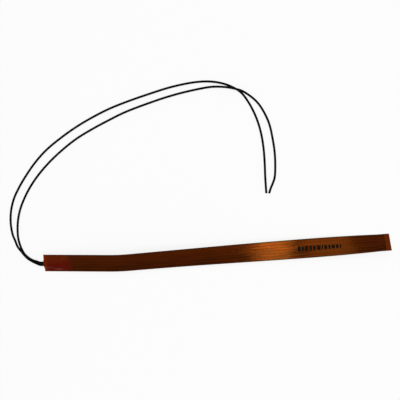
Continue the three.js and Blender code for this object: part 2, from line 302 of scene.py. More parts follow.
def closed_sheet(
    name: str, under: Array, over: Array, mapped: Array, kept: Array | None = None,
) -> bpy.types.Object:
    """A closed sheet between two grids of points, with cells left out where a mask says so.

    Each kept cell gives a face above and a face below; each side of a kept cell that has no kept
    neighbour gives a wall between the grids.

    Args:
        name: the piece's name.
        under: lower grid, rows by columns by 3.
        over: upper grid.
        mapped: millimetres along and across at each grid point.
        kept: which cells are there, rows - 1 by columns - 1.

    Returns:
        The object.
    """
    rows, columns = under.shape[:2]
    kept = np.ones((rows - 1, columns - 1), bool) if kept is None else kept
    number = np.arange(rows * columns).reshape(rows, columns)
    a, b, c, d = number[:-1, :-1], number[1:, :-1], number[1:, 1:], number[:-1, 1:]
    top = rows * columns
    faces = [np.stack([a, b, c, d], -1)[kept] + top, np.stack([a, d, c, b], -1)[kept]]
    ringed = np.pad(kept, 1)
    sides = [
        (a, b, kept & ~ringed[1:-1, :-2]),
        (b, c, kept & ~ringed[2:, 1:-1]),
        (c, d, kept & ~ringed[1:-1, 2:]),
        (d, a, kept & ~ringed[:-2, 1:-1]),
    ]
    faces += [np.stack([p, q, q + top, p + top], -1)[open_side] for p, q, open_side in sides]
    faces = np.concatenate(faces)
    vertices = np.concatenate([under.reshape(-1, 3), over.reshape(-1, 3)])
    used, faces = np.unique(faces, return_inverse=True)
    corners = np.concatenate([mapped.reshape(-1, 2)] * 2)[used]
    faces = faces.reshape(-1, 4)
    return make_object(name, vertices[used], faces, corners[faces])


def ring_vectors(path: Array, sides: int) -> Array:
    """Unit vectors round a path: cos(a) * side + sin(a) * up.

    The side vector is level and square to the path, and up is square to both.

    Args:
        path: points that don't repeat, n by 3.
        sides: vectors in each ring.

    Returns:
        The vectors, n by sides by 3.
    """
    along = np.gradient(path, axis=0)
    side = np.cross([0.0, 0.0, 1.0], along)
    side /= np.linalg.norm(side, axis=1, keepdims=True)
    up = np.cross(along, side)
    up /= np.linalg.norm(up, axis=1, keepdims=True)
    angle = np.linspace(0, 2 * np.pi, sides, endpoint=False)[None, :, None]
    return np.cos(angle) * side[:, None] + np.sin(angle) * up[:, None]


def path_length(path: Array) -> Array:
    """Length along a path up to each of its points."""
    return np.concatenate([[0.0], np.cumsum(np.linalg.norm(np.diff(path, axis=0), axis=1))])


def swept_rings(name: str, path: Array, radii: Array, ring: Array) -> bpy.types.Object:
    """Joins rings of points along a path into one closed body.

    Args:
        name: the piece's name.
        path: points, n by 3; a point may repeat, so that a step in the radius makes an end face.
        radii: radius at each point, 0 at the first and last.
        ring: unit vectors from the path, n by sides by 3.

    Returns:
        The object, mapped by millimetres along and round.
    """
    sides = ring.shape[1]
    vertices = (path[:, None] + radii[:, None, None] * ring).reshape(-1, 3)
    row, column = np.meshgrid(np.arange(len(path) - 1), np.arange(sides), indexing="ij")
    steps = [(row, column), (row, column + 1), (row + 1, column + 1), (row + 1, column)]
    faces = np.stack([r * sides + c % sides for r, c in steps], -1).reshape(-1, 4)
    reach = path_length(path) / MM
    width = 2 * np.pi * radii.max() / MM / sides
    mapped = np.stack([np.stack([reach[r], c * width], -1) for r, c in steps], -2)
    made = make_object(name, vertices, faces, mapped.reshape(-1, 4, 2), sharp=50)
    merge_doubles(made)
    return made


def merge_doubles(piece: bpy.types.Object) -> None:
    """Closes seams and poles by joining points that lie in one place."""
    work = bmesh.new()
    work.from_mesh(piece.data)
    bmesh.ops.remove_doubles(work, verts=work.verts, dist=1e-7)
    bmesh.ops.dissolve_degenerate(work, edges=work.edges, dist=1e-8)
    bmesh.ops.recalc_face_normals(work, faces=work.faces)
    work.to_mesh(piece.data)
    work.free()


def catmull_rom(points: Array, samples: int) -> Array:
    """A centripetal Catmull-Rom curve through points.

    Between two points the knots are spaced by the square root of the distance, and the curve is the
    pyramid of blends of the four nearest points. The ends are mirrored.

    Args:
        points: n by 3.
        samples: curve points in each span.

    Returns:
        The curve's points.
    """
    ends = [2 * points[:1] - points[1:2], points, 2 * points[-1:] - points[-2:-1]]
    p = np.concatenate(ends)
    p0, p1, p2, p3 = p[:-3], p[1:-2], p[2:-1], p[3:]
    t0 = np.zeros(len(p0))
    t1, t2, t3 = (np.sqrt(np.linalg.norm(q - r, axis=1)) for q, r in ((p1, p0), (p2, p1), (p3, p2)))
    t2, t3 = t1 + t2, t1 + t2 + t3
    t0, t1, t2, t3 = (x[:, None, None] for x in (t0, t1, t2, t3))
    p0, p1, p2, p3 = (x[:, None] for x in (p0, p1, p2, p3))
    t = t1 + (t2 - t1) * np.linspace(0, 1, samples, endpoint=False)[None, :, None]
    spans = ((t0, t1, p0, p1), (t1, t2, p1, p2), (t2, t3, p2, p3))
    a1, a2, a3 = (blend(t, *parts) for parts in spans)
    b1, b2 = blend(t, t0, t2, a1, a2), blend(t, t1, t3, a2, a3)
    return np.concatenate([blend(t, t1, t2, b1, b2).reshape(-1, 3), points[-1:]])


def blend(t: Array, start: Array, end: Array, first: Array, second: Array) -> Array:
    """The straight blend of two points as t goes from start to end."""
    share = (t - start) / (end - start)
    return (1 - share) * first + share * second


# The strip's surface


class Layer(Enum):
    """The laminate's layers, from the back to the cover."""

    BASE_FILM = "base_film"
    BASE_BOND = "base_bond_ply"
    FOIL = "heating_foil"
    COVER_BOND = "cover_bond_ply"
    COVER_FILM = "cover_film"


@dataclass
class StripSurface:
    """The surface that the laminate lies on, in millimetres until it is put in the frame.

    Film bends only out of its own plane. Pitch and roll are given along the strip. The heading
    follows from d(heading) = -tan(roll) * d(pitch) / cos(pitch), and the centre line is the sum of
    its steps.
    """

    length: float = 228.6
    width: float = 12.7
    film: float = 0.05
    bond: float = 0.025
    foil: float = 0.025
    clearance: float = 0.02
    tab: float = 41.0
    crest: float = 18.0
    tail: float = 8.0
    pitches: tuple[float, float, float] = (5.8, -3.47, 0.04)
    rolls: tuple[float, float] = (28.8, -31.6)
    twist_power: float = 2.1
    steps: int = 915
    origin: Array = field(default_factory=lambda: np.zeros(3))

    def __post_init__(self) -> None:
        """Walks the centre line and finds the lead end's place in the frame."""
        s = np.linspace(0, self.length, self.steps)
        middle = (s[1:] + s[:-1]) / 2
        turn = -np.tan(self.roll(middle)) * np.diff(self.pitch(s)) / np.cos(self.pitch(middle))
        self._heading = np.concatenate([[0.0], np.cumsum(turn)])
        steps = self.direction(self.pitch(middle), (self._heading[1:] + self._heading[:-1]) / 2)
        walked = np.cumsum(steps * np.diff(s)[:, None], axis=0)
        self._centre = np.concatenate([np.zeros((1, 3)), walked])
        self._walk = s
        self._settle(*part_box("base_film"))

    @property
    def spans(self) -> dict[Layer, tuple[float, float]]:
        """The lower and upper height of each layer over the strip's back."""
        thickness = {
            Layer.BASE_FILM: self.film, Layer.BASE_BOND: self.bond, Layer.FOIL: self.foil,
            Layer.COVER_BOND: self.bond, Layer.COVER_FILM: self.film,
        }
        base, spans = 0.0, {}
        for layer, thick in thickness.items():
            spans[layer] = (base, base + thick)
            base += thick + self.clearance
        return spans

    @property
    def stack_top(self) -> float:
        """Height of the cover film's face over the strip's back."""
        return self.spans[Layer.COVER_FILM][1]

    def _settle(self, low: Vector, high: Vector) -> None:
        """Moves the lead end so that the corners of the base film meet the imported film's box."""
        ends, sides = np.array([0.0, self.length]), np.array([-self.width / 2, self.width / 2])
        faces = [self.grid(ends, sides, height) for height in (0.0, self.film)]
        corners = np.concatenate(faces).reshape(-1, 3)
        least, most = corners.min(0), corners.max(0)
        self.origin = np.array([low[0] - least[0], high[1] - most[1], low[2] - least[2]])

    def progress(self, s: Array) -> Array:
        """How far a station is through the twisted stretch, from 0 to 1."""
        return np.clip((s - self.tab) / (self.length - self.tail - self.tab), 0, 1)

    def pitch(self, s: Array) -> Array:
        """Slope of the centre line, in radians."""
        tab, crest, end = self.pitches
        fall = (crest - tab) * smooth_step(s, self.tab, self.tab + self.crest)
        return np.radians(tab + fall + (end - crest) * self.progress(s))

    def roll(self, s: Array) -> Array:
        """Sideways tilt, in radians."""
        start, end = self.rolls
        return np.radians(start + (end - start) * self.progress(s) ** self.twist_power)

    @staticmethod
    def direction(pitch: Array, heading: Array) -> Array:
        """Unit vectors of a slope and a heading."""
        level = np.cos(pitch)
        return np.stack([level * np.cos(heading), level * np.sin(heading), np.sin(pitch)], -1)

    def frames(self, s: Array) -> tuple[Array, Array, Array]:
        """Frames along the strip.

        Args:
            s: stations, in millimetres from the lead end. Past the ends the strip goes on straight.

        Returns:
            Centre in metres without the origin, the unit vector across and the unit normal.
        """
        inside = np.clip(s, 0, self.length)
        heading = np.interp(inside, self._walk, self._heading)
        along = self.direction(self.pitch(inside), heading)
        centre = np.stack([np.interp(inside, self._walk, self._centre[:, k]) for k in range(3)], -1)
        centre = centre + along * (s - inside)[..., None]
        level = np.stack([-np.sin(heading), np.cos(heading), 0 * heading], -1)
        roll = self.roll(inside)[..., None]
        across = np.cos(roll) * level + np.sin(roll) * np.cross(along, level)
        return centre * MM, across, np.cross(along, across)

    def points(self, s: Array, offset: Array, height: Array) -> Array:
        """Places on the strip: centre + offset * across + height * normal.

        Args:
            s: stations, in millimetres.
            offset: millimetres to the back edge.
            height: millimetres over the strip's back.

        Returns:
            Places in metres.
        """
        s, offset, height = np.broadcast_arrays(s, offset, height)
        centre, across, normal = self.frames(s)
        return self.origin + centre + (offset[..., None] * across + height[..., None] * normal) * MM

    def grid(self, stations: Array, offsets: Array, height: Any) -> Array:
        """A grid of places, one row for each station; height is a number or a grid of numbers."""
        return self.points(stations[:, None], offsets[None, :], np.asarray(height, float))


def grid_map(stations: Array, offsets: Array) -> Array:
    """Millimetres along and across at each point of a grid."""
    return np.stack(np.meshgrid(stations, offsets, indexing="ij"), -1)


# Finishes


@dataclass(frozen=True)
class ElementLayout:
    """Where the etched track runs, in millimetres on the strip."""

    runs: int = 6
    gap: float = 0.4
    side_margin: float = 0.9
    lead_margin: float = 2.0
    far_margin: float = 3.3
    turn: float = 1.6
    pad_end: float = 11.2
    pad_gap: float = 0.8

    def pitch(self, width: float) -> float:
        """Distance from one run to the next on a film of that width."""
        return (width - 2 * self.side_margin + self.gap) / self.runs


@dataclass(frozen=True)
class FilmFinish:
    """Amber film over the etched foil: brown-black over the runs, orange where there are none."""

    surface: StripSurface
    layout: ElementLayout
    foil_low: tuple = srgb(57, 19, 3)
    foil_high: tuple = srgb(90, 32, 4)
    bare: tuple = srgb(74, 27, 4)
    bare_end: tuple = srgb(98, 34, 5)
    # painted shade: a dark line along both long edges, standing in for the shade at the strip's edges
    edge_shade: tuple = srgb(42, 16, 4)
    red_edge: tuple = srgb(84, 22, 6)
    amber_sheen: tuple = (1.0, 0.54, 0.07, 1.0)
    streak_size: tuple[float, float] = (38.0, 0.32)
    cloud_size: tuple[float, float] = (14.0, 3.5)
    ridge_size: tuple[float, float] = (75.0, 1.4)

    def foil_mask(self, kit: NodeKit, along: Shade, across: Shade) -> Shade:
        """1 over the track, 0 over bare film."""
        layout, width, length = self.layout, self.surface.width, self.surface.length
        pitch = layout.pitch(width)
        place = (across + (width / 2 - layout.side_margin)) / pitch
        in_run = place.fraction() < (1 - layout.gap / pitch)
        odd = (place.floor() / 2).fraction() > 0.25
        far_turn = (along > (length - layout.far_margin - layout.turn)) * (1 - odd)
        near_turn = (along < (layout.pad_end + layout.gap + layout.turn)) * odd
        track = 1 - (1 - in_run) * (1 - far_turn) * (1 - near_turn)
        inside = across.between(-width / 2 + layout.side_margin, width / 2 - layout.side_margin)
        return track * inside * along.between(layout.lead_margin, length - layout.far_margin)

    def build(self) -> bpy.types.Material:
        """The material."""
        kit = NodeKit("amber_film")
        along, across = kit.surface_map()
        foil = self.foil_mask(kit, along, across)
        streaks = kit.noise(kit.stretched(along, across, *self.streak_size), 3.0, 0.6)
        clouds = kit.noise(kit.stretched(along, across, *self.cloud_size), 2.0, 0.5)
        ridges = kit.noise(kit.stretched(along, across, *self.ridge_size), 2.0, 0.5)
        half, element_end = self.surface.width / 2, self.surface.length - self.layout.far_margin
        bands = (ridges * 0.6 + clouds * 0.4).ramp(0.38, 0.62)
        tone = bands * 0.5 + across.ramp(-half / 2, half / 2) * 0.5
        low_edge = (1 - across.ramp(-half + 0.6, -half + 2.2)) * clouds.ramp(0.42, 0.6)
        foil_tone = kit.mix(tone, self.foil_low, self.foil_high)
        over_foil = kit.mix(low_edge * 0.6, foil_tone, self.red_edge)
        bare = kit.mix(along.ramp(element_end - 0.2, element_end), self.bare, self.bare_end)
        # painted shade: both long edges darken over their last 0.7 mm, as if the strip's edges lay in
        # shade
        edge = abs(across).ramp(half - 0.7, half - 0.3)
        return kit.principled({
            "Base Color": kit.mix(edge * 0.8, kit.mix(foil, bare, over_foil), self.edge_shade),
            "Metallic": foil * 0.55,
            "Roughness": 0.18 + (streaks - 0.5) * 0.14,
            "Normal": kit.bump(
                streaks * 0.015 + ridges * 0.07 + clouds * 0.05 + foil * 0.008, 1.0,
            ),
            "Specular IOR Level": 0.2,
            "Specular Tint": self.amber_sheen,
        })


@dataclass(frozen=True)
class PatchFinish:
    """Red-brown tape: brighter orange past the foil, with pull lines over the leads."""

    surface: StripSurface
    lead_margin: float = 2.0
    fade: tuple[float, float] = (13.5, 19.3)
    front: tuple = srgb(96, 17, 6)
    back: tuple = srgb(98, 33, 7)
    worn: tuple = srgb(78, 18, 6)
    bare_end: tuple = srgb(112, 36, 3)
    over_film: tuple = srgb(72, 25, 5)
    red_sheen: tuple = (1.0, 0.3, 0.12, 1.0)

    def build(self) -> bpy.types.Material:
        """The material."""
        kit = NodeKit("red_film_tape")
        along, across = kit.surface_map()
        streaks = kit.noise(kit.stretched(along, across, 9.0, 0.5), 3.0, 0.6)
        clouds = kit.noise(kit.stretched(along, across, 5.0, 2.6), 2.0, 0.5)
        wear = (streaks * 0.45 + clouds * 0.55).ramp(0.4, 0.7) * 0.6
        body = kit.mix(wear, kit.mix(across.ramp(-1.0, 4.5), self.front, self.back), self.worn)
        past_foil = 1 - along.ramp(self.lead_margin - 0.5, self.lead_margin + 0.9)
        stuck_down = (along + (clouds - 0.5) * 6.0).ramp(*self.fade) * 0.9
        over_film = kit.mix(stuck_down, body, self.over_film)
        return kit.principled({
            "Base Color": kit.mix(past_foil * 0.75, over_film, self.bare_end),
            "Roughness": 0.3 + (clouds - 0.5) * 0.2,
            "Normal": kit.bump(streaks * 0.02 + clouds * 0.04, 1.0),
            "Specular IOR Level": 0.08,
            "Specular Tint": self.red_sheen,
        })


@dataclass(frozen=True)
class InsulationFinish:
    """Smooth black extruded insulation, with faint draw lines and a few duller stretches."""

    dark: tuple = srgb(3, 3, 3)
    light: tuple = srgb(11, 11, 11)

    def build(self) -> bpy.types.Material:
        """The material."""
        kit = NodeKit("black_insulation")
        along, across = kit.surface_map()
        lines = kit.noise(kit.stretched(along, across, 30.0, 0.16), 2.0, 0.6)
        scuffs = kit.noise(kit.stretched(along, across, 7.0, 2.0), 3.0, 0.6)
        return kit.principled({
            "Base Color": kit.mix(scuffs.ramp(0.42, 0.7), self.dark, self.light),
            "Roughness": 0.42 + (scuffs - 0.5) * 0.24,
            "Normal": kit.bump(lines * 0.008 + scuffs * 0.006, 1.0),
            "Specular IOR Level": 0.03,
        })


@dataclass(frozen=True)
class MetalFinish:
    """A bare metal with grain along the piece and slight tarnish."""

    name: str
    bright: tuple
    dull: tuple
    roughness: float = 0.3
    grain: float = 0.01

    def build(self) -> bpy.types.Material:
        """The material."""
        kit = NodeKit(self.name)
        place = kit.place()
        fine = kit.node("ShaderNodeTexNoise", {}, {"Vector": place, "Scale": 2600.0, "Detail": 3.0})
        broad = kit.node("ShaderNodeTexNoise", {}, {"Vector": place, "Scale": 420.0, "Detail": 2.0})
        return kit.principled({
            "Base Color": kit.mix(broad.ramp(0.4, 0.65), self.bright, self.dull),
            "Metallic": 1.0,
            "Roughness": self.roughness + (fine - 0.5) * 0.25,
            "Normal": kit.bump(fine * self.grain, 1.0),
        })


@dataclass(frozen=True)
class BondFinish:
    """Clear amber adhesive, seen only at its edges and in the windows."""

    clear: tuple = srgb(150, 84, 28)
    cloudy: tuple = srgb(118, 62, 20)

    def build(self) -> bpy.types.Material:
        """The material."""
        kit = NodeKit("amber_adhesive")
        along, across = kit.surface_map()
        clouds = kit.noise(kit.stretched(along, across, 3.0, 1.2), 3.0, 0.6)
        return kit.principled({
            "Base Color": kit.mix(clouds.ramp(0.38, 0.66), self.clear, self.cloudy),
            "Roughness": 0.42 + (clouds - 0.5) * 0.2,
            "Normal": kit.bump(clouds * 0.01, 1.0),
            "Specular IOR Level": 0.4,
        })


@dataclass(frozen=True)
class InkFinish:
    """Dark ink with worn, uneven cover."""

    dark: tuple = srgb(18, 11, 5)
    thin: tuple = srgb(54, 27, 9)

    def build(self) -> bpy.types.Material:
        """The material."""
        kit = NodeKit("dark_ink")
        along, across = kit.surface_map()
        wear = kit.noise(kit.stretched(along, across, 1.3, 0.5), 3.0, 0.7)
        return kit.principled({
            "Base Color": kit.mix(wear.ramp(0.45, 0.68), self.dark, self.thin),
            "Roughness": 0.5 + (wear - 0.5) * 0.3,
            "Normal": kit.bump(wear * 0.004, 1.0),
            "Specular IOR Level": 0.02,
        })


@dataclass(frozen=True)
class TableFinish:
    """Pale table that the camera and mirrored rays see nearly white, with its shadow kept."""

    paint: tuple = srgb(250, 250, 250)
    white_share: float = 0.84

    def build(self) -> bpy.types.Material:
        """The material."""
        kit = NodeKit("pale_table")
        rays = kit.node("ShaderNodeLightPath", {}, {}).source.node
        kinds = ("Is Camera Ray", "Is Glossy Ray", "Is Transmission Ray")
        camera, glossy, through = (Shade(kit, rays.outputs[kind]) for kind in kinds)
        seen = camera.larger(glossy).larger(through) * self.white_share
        plain = kit.node("ShaderNodeBsdfDiffuse", {}, {"Color": self.paint})
        white = kit.node("ShaderNodeEmission", {}, {"Color": (1.0, 1.0, 1.0, 1.0), "Strength": 1.0})
        return kit.output(kit.node("ShaderNodeMixShader", {}, {0: seen, 1: plain, 2: white}))


# Sub-assemblies


class Slot(Enum):
    """The record's material slots."""

    FILM = "film"
    BOND = "bond"
    FOIL = "foil"
    PATCH = "patch"
    COPPER = "copper"
    SOLDER = "solder"
    INSULATION = "insulation"


def dress(
    piece: bpy.types.Object, material: bpy.types.Material, slot: Slot, *nodes: str,
) -> bpy.types.Object:
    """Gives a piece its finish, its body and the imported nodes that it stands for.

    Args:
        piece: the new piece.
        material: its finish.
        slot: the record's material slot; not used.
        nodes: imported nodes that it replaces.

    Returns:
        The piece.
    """
    piece.data.materials.clear()
    piece.data.materials.append(material)
    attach(piece, BODY)
    if nodes:
        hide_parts(*nodes)
    LOG.info("%s: %d faces", piece.name, len(piece.data.polygons))
    return piece


@dataclass
class Leads:
    """The two free leads, from under the patch to their cut ends, in millimetres."""

    surface: StripSurface
    length: float = 305.0
    diameter: float = 1.5
    pitch: float = 1.75
    seat: float = 0.1
    inside: float = 4.5
    straight: float = 2.5
    table_clearance: float = 0.02
    bore: float = 0.4
    bore_depth: float = 0.6
    strand: float = 0.25
    strand_spacing: float = 0.27
    strand_set_back: float = 0.08
    strand_sides: int = 10
    outer_strands: int = 6
    sides: int = 18
    samples: int = 14

    FRONT_ROUTE = (
        (-5.3, -0.3, 1.73), (-7.8, 0.8, 1.08), (-10.9, 2.6, 0.43), (-13.6, 5.1, 0.13), (-15, 6.9, 0.02),
        (-17.8, 10.4), (-19.6, 14.7), (-21.2, 18.6), (-22.5, 26.5), (-22.2, 34.5), (-20.3, 42.4),
        (-16.6, 50.3), (-11.9, 58.2), (-6.3, 66.2), (0.7, 74.1), (10.1, 82), (20.9, 89.7), (31.5, 96),
        (42.1, 101.4), (52.6, 105.7), (68.5, 111.3), (84.3, 116.2), (100.2, 119.3), (110.8, 119.5),
        (120.2, 117.5), (129.1, 112.8), (134.6, 105.8), (139.6, 95.9), (142.7, 86), (144.4, 76.1),
        (145.2, 66.2), (145.6, 56.3), (146.3, 45.8),
    )
    BACK_ROUTE = (
        (-5, 1, 3.03), (-7.2, 1.6, 2.48), (-10.2, 3.2, 2.03), (-12.9, 5.6, 1.73), (-14.2, 7.5, 1.53),
        (-15.7, 10.4, 0.78), (-17.2, 14.7, 0.14), (-17.8, 18.6, 0.03), (-17.8, 26.5), (-16.4, 34.5),
        (-13.5, 42.4), (-9.4, 50.3), (-4, 58.2), (2.9, 66.2), (11.2, 74.1), (20.9, 81.8), (31.5, 88.3),
        (42.1, 94), (52.6, 99.2), (68.5, 105.3), (84.3, 110.5), (100.2, 114.4, 0.08),
        (110.8, 116.1, 0.58), (120.2, 115.7, 1.58), (126, 114.6, 1.7), (130.8, 113, 1.58),
        (138.5, 107.7, 0.33), (142.9, 102.5, 0.08), (147.9, 92.6), (150.3, 82.7), (151.8, 72.8),
        (152.2, 62.9), (151.8, 56.3), (150.8, 53), (149.4, 49.6), (148.1, 45.8),
    )

    def inner_points(self, side: int, stations: Sequence[float]) -> Array:
        """Places on the straight start of one lead, in metres."""
        height = self.surface.stack_top + self.seat + self.diameter / 2
        offset = np.array(side * self.pitch / 2)
        return self.surface.points(np.array(stations), offset, np.array(height))

    def centre_line(self, side: int) -> Array:
        """One lead's middle line, in metres; side is -1 for the front lead and 1 for the back one."""
        start = self.inner_points(side, (self.inside, self.inside / 2, 0.0, -self.straight))
        lying = self.table_clearance + self.diameter / 2
        route = self.FRONT_ROUTE if side < 0 else self.BACK_ROUTE
        lifted = np.array([(*point, 0.0)[:3] for point in route]) + (0, 0, lying)
        ground = np.array([*self.surface.origin[:2], 0.0])
        return catmull_rom(np.concatenate([start, ground + lifted * MM]), self.samples)

    def insulation(
        self, name: str, line: Array, material: bpy.types.Material,
    ) -> bpy.types.Object:
        """The insulation: a round tube whose far end is cut square and open for the strands.

        Args:
            name: the lead's name.
            line: its middle line.
            material: its finish.

        Returns:
            The piece.
        """
        radius, bore = self.diameter / 2 * MM, self.bore * MM
        inward = (line[-2] - line[-1]) / np.linalg.norm(line[-2] - line[-1]) * self.bore_depth * MM
        path = np.concatenate([line[:1], line, line[-1:], (line[-1] + inward)[None].repeat(2, 0)])
        radii = np.concatenate([[0.0], np.full(len(line), radius), [bore, bore, 0.0]])
        ring = ring_vectors(line, self.sides)
        rings = np.concatenate([ring[:1], ring, ring[-1:].repeat(3, 0)])
        made = swept_rings(f"{name}_sheath", path, radii, rings)
        return dress(made, material, Slot.INSULATION, f"{name}_insulation")

    def end_strands(
        self, name: str, line: Array, material: bpy.types.Material,
    ) -> bpy.types.Object:
        """The cut strands that show in the open end: a middle one and a ring of six."""
        back = line[-2] - line[-1]
        back *= (self.bore_depth - self.strand_set_back) * MM / np.linalg.norm(back)
        ring = ring_vectors(line[-2:], self.outer_strands)[-1] * self.strand_spacing * MM
        radii = np.array([0.0, 0.5, 0.5, 0.0]) * self.strand * MM
        round_strand = ring_vectors(line[-2:], self.strand_sides)[-1:].repeat(4, 0)
        rods = []
        for i, end in enumerate(np.concatenate([np.zeros((1, 3)), ring]) + line[-1]):
            path = np.stack([end + back, end + back, end, end])
            rods.append(swept_rings(f"{name}_end_{i}", path, radii, round_strand))
        return dress(join(f"{name}_cut_strands", rods), material, Slot.COPPER)

    def build(self, sheath: bpy.types.Material, copper: bpy.types.Material) -> None:
        for name, side in (("lead_1", -1), ("lead_2", 1)):
            line = self.centre_line(side)
            piece = self.insulation(name, line, sheath)
            end = self.end_strands(name, line, copper)
            leaves = self.inner_points(side, (0.0,))[0]
            LOG.info("%s: middle line %.1f mm", name, path_length(line)[-1] / MM)


def join(name: str, parts: Sequence[bpy.types.Object]) -> bpy.types.Object:
    """Makes one object of several mesh objects that lie at the origin, and removes them."""
    work = bmesh.new()
    for part in parts:
        work.from_mesh(part.data)
        bpy.data.meshes.remove(part.data)
    mesh = bpy.data.meshes.new(name)
    work.to_mesh(mesh)
    work.free()
    made = bpy.data.objects.new(name, mesh)
    bpy.context.scene.collection.objects.link(made)
    return made


@dataclass(frozen=True)
class JointSize:
    """Where the solder joints lie, and how large they are."""

    centre: float = 9.0
    offset: float = 1.9
    length: float = 3.0
    width: float = 2.1
    height: float = 1.2


@dataclass
class Laminate:
    """The five bonded layers, each a sheet on the strip's surface, in millimetres."""

    surface: StripSurface
    layout: ElementLayout
    joint: JointSize
    row_length: float = 1.0
    columns: int = 9
    window_margin: float = 0.2

    def windows(self, s: Array, v: Array) -> Array:
        """Which cells lie outside the windows over the pads."""
        joint, margin = self.joint, self.window_margin
        along = np.abs(s - joint.centre) < joint.length / 2 + margin
        across = np.abs(np.abs(v) - joint.offset) < joint.width / 2 + margin
        return ~(along & across)

    def window_marks(self) -> tuple[Array, Array]:
        """Stations and offsets of the windows' edges."""
        joint, sides = self.joint, np.array([-1.0, 1.0])
        stations = joint.centre + sides * (joint.length / 2 + self.window_margin)
        offsets = joint.offset + sides * (joint.width / 2 + self.window_margin)
        return stations, np.concatenate([-offsets, offsets])

    def track(self, s: Array, v: Array) -> Array:
        """Which cells hold foil: runs joined by turns at alternate ends, and two pads."""
        lay, width, length = self.layout, self.surface.width, self.surface.length
        pitch, half = lay.pitch(width), width / 2 - lay.side_margin
        place = (v + half) / pitch
        run, odd = place % 1 < 1 - lay.gap / pitch, np.floor(place) % 2 == 1
        cross_end = lay.pad_end + lay.gap
        turn = np.where(odd, s < cross_end + lay.turn, s > length - lay.far_margin - lay.turn)
        pad = s < lay.pad_end
        divided = pad & (np.abs(v) < lay.pad_gap / 2)
        crossed = ~pad & (s < cross_end) & (np.abs(v) < half - pitch + lay.gap)
        inside = (np.abs(v) < half) & (s > lay.lead_margin) & (s < length - lay.far_margin)
        return inside & ~divided & ~crossed & (run | turn | pad)

    def track_marks(self) -> tuple[Array, Array]:
        """Stations and offsets of the track's edges."""
        lay, width, length = self.layout, self.surface.width, self.surface.length
        starts = lay.side_margin - width / 2 + lay.pitch(width) * np.arange(lay.runs)
        cross_end = lay.pad_end + lay.gap
        stations = [lay.lead_margin, lay.pad_end, cross_end, cross_end + lay.turn,
                    length - lay.far_margin - lay.turn, length - lay.far_margin]
        ends = starts + lay.pitch(width) - lay.gap
        return np.array(stations), np.concatenate([starts, ends, [-lay.pad_gap / 2, lay.pad_gap / 2]])

    def lines(self, marks: tuple[Array, Array]) -> tuple[Array, Array]:
        """Grid lines along and across the strip, with some marks among them."""
        half = self.surface.width / 2
        rows = round(self.surface.length / self.row_length) + 1
        stations = np.concatenate([np.linspace(0, self.surface.length, rows), marks[0]])
        offsets = np.concatenate([np.linspace(-half, half, self.columns), marks[1]])
        return np.unique(stations.round(5)), np.unique(offsets.round(5))

    def build(self, finishes: dict[Layer, bpy.types.Material]) -> None:
        """Makes the five layers.

        Args:
            finishes: the material of each layer.
        """
        windows, track = (self.windows, self.window_marks()), (self.track, self.track_marks())
        patterns = {Layer.FOIL: track, Layer.COVER_BOND: windows, Layer.COVER_FILM: windows}
        slots = {Layer.FOIL: Slot.FOIL, Layer.BASE_BOND: Slot.BOND, Layer.COVER_BOND: Slot.BOND}
        for layer, (low, high) in self.surface.spans.items():
            pattern, marks = patterns.get(layer, (None, (np.zeros(0), np.zeros(0))))
            stations, offsets = self.lines(marks)
            middles = [(line[1:] + line[:-1]) / 2 for line in (stations, offsets)]
            kept = pattern(middles[0][:, None], middles[1][None, :]) if pattern else None
            under, over = (self.surface.grid(stations, offsets, height) for height in (low, high))
            mapped = grid_map(stations, offsets)
            made = closed_sheet(f"{layer.value}_skin", under, over, mapped, kept)
            dress(made, finishes[layer], slots.get(layer, Slot.FILM), layer.value)


@dataclass
class TerminationPatch:
    """The tape over the leads and joints.

    It is a tent that steps down from the leads to the joints and runs out on the film.
    """

    surface: StripSurface
    leads: Leads
    joint: JointSize
    length: float = 18.4
    thickness: float = 0.06
    inset: float = 0.15
    room: float = 0.1
    flank: float = 2.3
    step: tuple[float, float] = (5.0, 8.2)
    run_out: float = 3.8
    rows: int = 93
    columns: int = 81

    def underside(self, s: Array, offset: Array) -> Array:
        """Height of the tape's underside: rise * run-out * flank over the film, each a soft step."""
        leads, joint, surface = self.leads, self.joint, self.surface
        share = smooth_step(s, *self.step)
        over_leads = leads.seat + leads.diameter + self.room
        joint_top = surface.spans[Layer.FOIL][1] + surface.clearance + joint.height
        over_joints = joint_top + self.room - surface.stack_top
        lead_reach = (leads.pitch + leads.diameter) / 2 + self.room
        joint_reach = joint.offset + joint.width / 2 + self.room
        rise = over_leads + (over_joints - over_leads) * share
        reach = lead_reach + (joint_reach - lead_reach) * share
        joint_end = joint.centre + joint.length / 2
        flank = 1 - smooth_step(np.abs(offset) - reach, 0, self.flank)
        level = 1 - smooth_step(s, joint_end, joint_end + self.run_out)
        return surface.stack_top + surface.clearance + rise * level * flank

    def build(self, material: bpy.types.Material) -> None:
        """Makes the patch."""
        half = self.surface.width / 2 - self.inset
        stations = np.linspace(0, self.length, self.rows)
        offsets = np.linspace(-half, half, self.columns)
        low = self.underside(stations[:, None], offsets[None, :])
        heights = (low, low + self.thickness)
        under, over = (self.surface.grid(stations, offsets, height) for height in heights)
        made = closed_sheet("termination_tape", under, over, grid_map(stations, offsets))
        dress(made, material, Slot.PATCH, "termination_patch")


